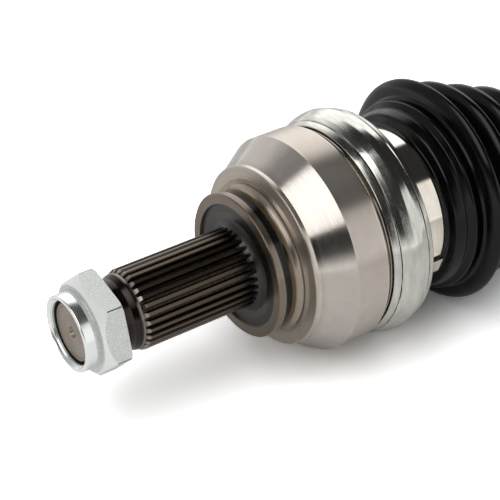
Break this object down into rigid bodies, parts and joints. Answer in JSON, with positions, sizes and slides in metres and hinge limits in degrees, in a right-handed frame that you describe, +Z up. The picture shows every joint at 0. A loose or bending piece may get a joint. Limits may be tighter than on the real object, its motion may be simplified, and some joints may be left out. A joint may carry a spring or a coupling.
{
  "type": "drive shaft",
  "caption": "Drive shaft with a ball joint and splined hub stub at the wheel end, a bar, and a plunging tripod joint with a gearbox stub; both joints booted.",
  "frame": {"origin": "on the shaft's axis, in the plane of the shoulder that meets the wheel bearing", "axes": "+X along the shaft from the hub nut to the gearbox stub, +Z up with a trunnion and a ball at the top, +Y to the left of +X"},
  "size_m": [0.6557, 0.0966, 0.0966],
  "materials": {
    "bright_zinc": "bright zinc plate, satin",
    "machined_steel": "turned and ground steel, oiled on the splines",
    "zinc_sheet": "pressed sheet, zinc plated",
    "clamp_steel": "stainless strip",
    "boot_rubber": "moulded, slightly glossy",
    "black_bar": "dip painted, semi-gloss",
    "race_steel": "hardened and ground",
    "cage_steel": "hardened, milled windows",
    "ball_steel": "polished",
    "tulip_steel": "forged, turned on its ends",
    "bush_plastic": "moulded",
    "phosphated_sheet": "phosphated and oiled",
    "spring_steel": "blued spring steel"
  },
  "bodies": {
    "shaft": {"intermediate_shaft": "black_bar", "outer_inner_race": "race_steel", "outer_race_circlip": "spring_steel", "outer_clamp_small": "clamp_steel", "spider": "race_steel", "spider_circlip": "spring_steel", "trunnion_washers": "race_steel", "trunnion_circlips": "spring_steel", "inner_clamp_small": "clamp_steel"},
    "hub": {"hub_nut": "bright_zinc", "outer_housing": "machined_steel", "outer_can": "zinc_sheet", "outer_boot": "boot_rubber", "outer_clamp_large": "clamp_steel"},
    "cage": {"outer_cage": "cage_steel"},
    "ball_1": {"outer_ball_1": "ball_steel"},
    "ball_2": {"outer_ball_2": "ball_steel"},
    "ball_3": {"outer_ball_3": "ball_steel"},
    "ball_4": {"outer_ball_4": "ball_steel"},
    "ball_5": {"outer_ball_5": "ball_steel"},
    "ball_6": {"outer_ball_6": "ball_steel"},
    "inner_boot_bellows": {"inner_boot": "boot_rubber"},
    "tulip": {"tripod_tulip": "tulip_steel", "inner_boot_bush": "bush_plastic", "inner_clamp_large": "clamp_steel", "dust_deflector": "phosphated_sheet", "stub_circlip": "spring_steel"},
    "roller_1": {"tripod_roller_1": "ball_steel"},
    "needles_1": {"roller_needles_1": "ball_steel"},
    "roller_2": {"tripod_roller_2": "ball_steel"},
    "needles_2": {"roller_needles_2": "ball_steel"},
    "roller_3": {"tripod_roller_3": "ball_steel"},
    "needles_3": {"roller_needles_3": "ball_steel"}
  },
  "joints": [
    {"name": "outer_bend", "type": "hinge", "parent": "shaft", "child": "hub", "pos_m": [0.035, 0, 0], "axis": [0, 1, 0], "range_deg": [-18, 18], "deforming": ["outer_boot"]},
    {"name": "cage_bend", "type": "hinge", "parent": "shaft", "child": "cage", "pos_m": [0.035, 0, 0], "axis": [0, 1, 0], "range_deg": [-9.5, 9.5]},
    {"name": "ball_1_roll", "type": "hinge", "parent": "shaft", "child": "ball_1", "pos_m": [0.0305, 0, 0], "axis": [0, 1, 0], "range_deg": [-9.5, 9.5]},
    {"name": "ball_2_roll", "type": "hinge", "parent": "shaft", "child": "ball_2", "pos_m": [0.0305, 0, 0], "axis": [0, 0.5, -0.866], "range_deg": [-5, 5]},
    {"name": "ball_3_roll", "type": "hinge", "parent": "shaft", "child": "ball_3", "pos_m": [0.0305, 0, 0], "axis": [0, -0.5, -0.866], "range_deg": [-5, 5]},
    {"name": "ball_4_roll", "type": "hinge", "parent": "shaft", "child": "ball_4", "pos_m": [0.0305, 0, 0], "axis": [0, -1, 0], "range_deg": [-9.5, 9.5]},
    {"name": "ball_5_roll", "type": "hinge", "parent": "shaft", "child": "ball_5", "pos_m": [0.0305, 0, 0], "axis": [0, -0.5, 0.866], "range_deg": [-5, 5]},
    {"name": "ball_6_roll", "type": "hinge", "parent": "shaft", "child": "ball_6", "pos_m": [0.0305, 0, 0], "axis": [0, 0.5, 0.866], "range_deg": [-5, 5]},
    {"name": "inner_bend", "type": "hinge", "parent": "shaft", "child": "inner_boot_bellows", "pos_m": [0.465, 0, 0], "axis": [0, 1, 0], "range_deg": [-14, 14], "deforming": ["inner_boot"]},
    {"name": "inner_plunge", "type": "slide", "parent": "inner_boot_bellows", "child": "tulip", "axis": [1, 0, 0], "range_m": [-0.018, 0.018]},
    {"name": "roller_1_spin", "type": "hinge", "parent": "shaft", "child": "roller_1", "pos_m": [0.465, 0, 0], "axis": [0, 0, 1], "range_deg": [-64, 64]},
    {"name": "needles_1_spin", "type": "hinge", "parent": "shaft", "child": "needles_1", "pos_m": [0.465, 0, 0], "axis": [0, 0, 1], "range_deg": [-36, 36]},
    {"name": "roller_2_spin", "type": "hinge", "parent": "shaft", "child": "roller_2", "pos_m": [0.465, 0, 0], "axis": [0, 0.866, -0.5], "range_deg": [-64, 64]},
    {"name": "needles_2_spin", "type": "hinge", "parent": "shaft", "child": "needles_2", "pos_m": [0.465, 0, 0], "axis": [0, 0.866, -0.5], "range_deg": [-36, 36]},
    {"name": "roller_3_spin", "type": "hinge", "parent": "shaft", "child": "roller_3", "pos_m": [0.465, 0, 0], "axis": [0, -0.866, -0.5], "range_deg": [-64, 64]},
    {"name": "needles_3_spin", "type": "hinge", "parent": "shaft", "child": "needles_3", "pos_m": [0.465, 0, 0], "axis": [0, -0.866, -0.5], "range_deg": [-36, 36]}
  ],
  "couplings": [
    {"joint": "cage_bend", "follows": "outer_bend", "ratio": 0.5},
    {"joint": "ball_1_roll", "follows": "outer_bend", "ratio": 0.5},
    {"joint": "ball_2_roll", "follows": "outer_bend", "ratio": 0.2516},
    {"joint": "ball_3_roll", "follows": "outer_bend", "ratio": -0.2516},
    {"joint": "ball_4_roll", "follows": "outer_bend", "ratio": -0.5},
    {"joint": "ball_5_roll", "follows": "outer_bend", "ratio": -0.2516},
    {"joint": "ball_6_roll", "follows": "outer_bend", "ratio": 0.2516},
    {"joint": "roller_1_spin", "follows": "inner_plunge", "rad_per_m": 60.606},
    {"joint": "needles_1_spin", "follows": "inner_plunge", "rad_per_m": 33.998},
    {"joint": "roller_2_spin", "follows": "inner_plunge", "rad_per_m": 60.606},
    {"joint": "needles_2_spin", "follows": "inner_plunge", "rad_per_m": 33.998},
    {"joint": "roller_3_spin", "follows": "inner_plunge", "rad_per_m": 60.606},
    {"joint": "needles_3_spin", "follows": "inner_plunge", "rad_per_m": 33.998}
  ]
}
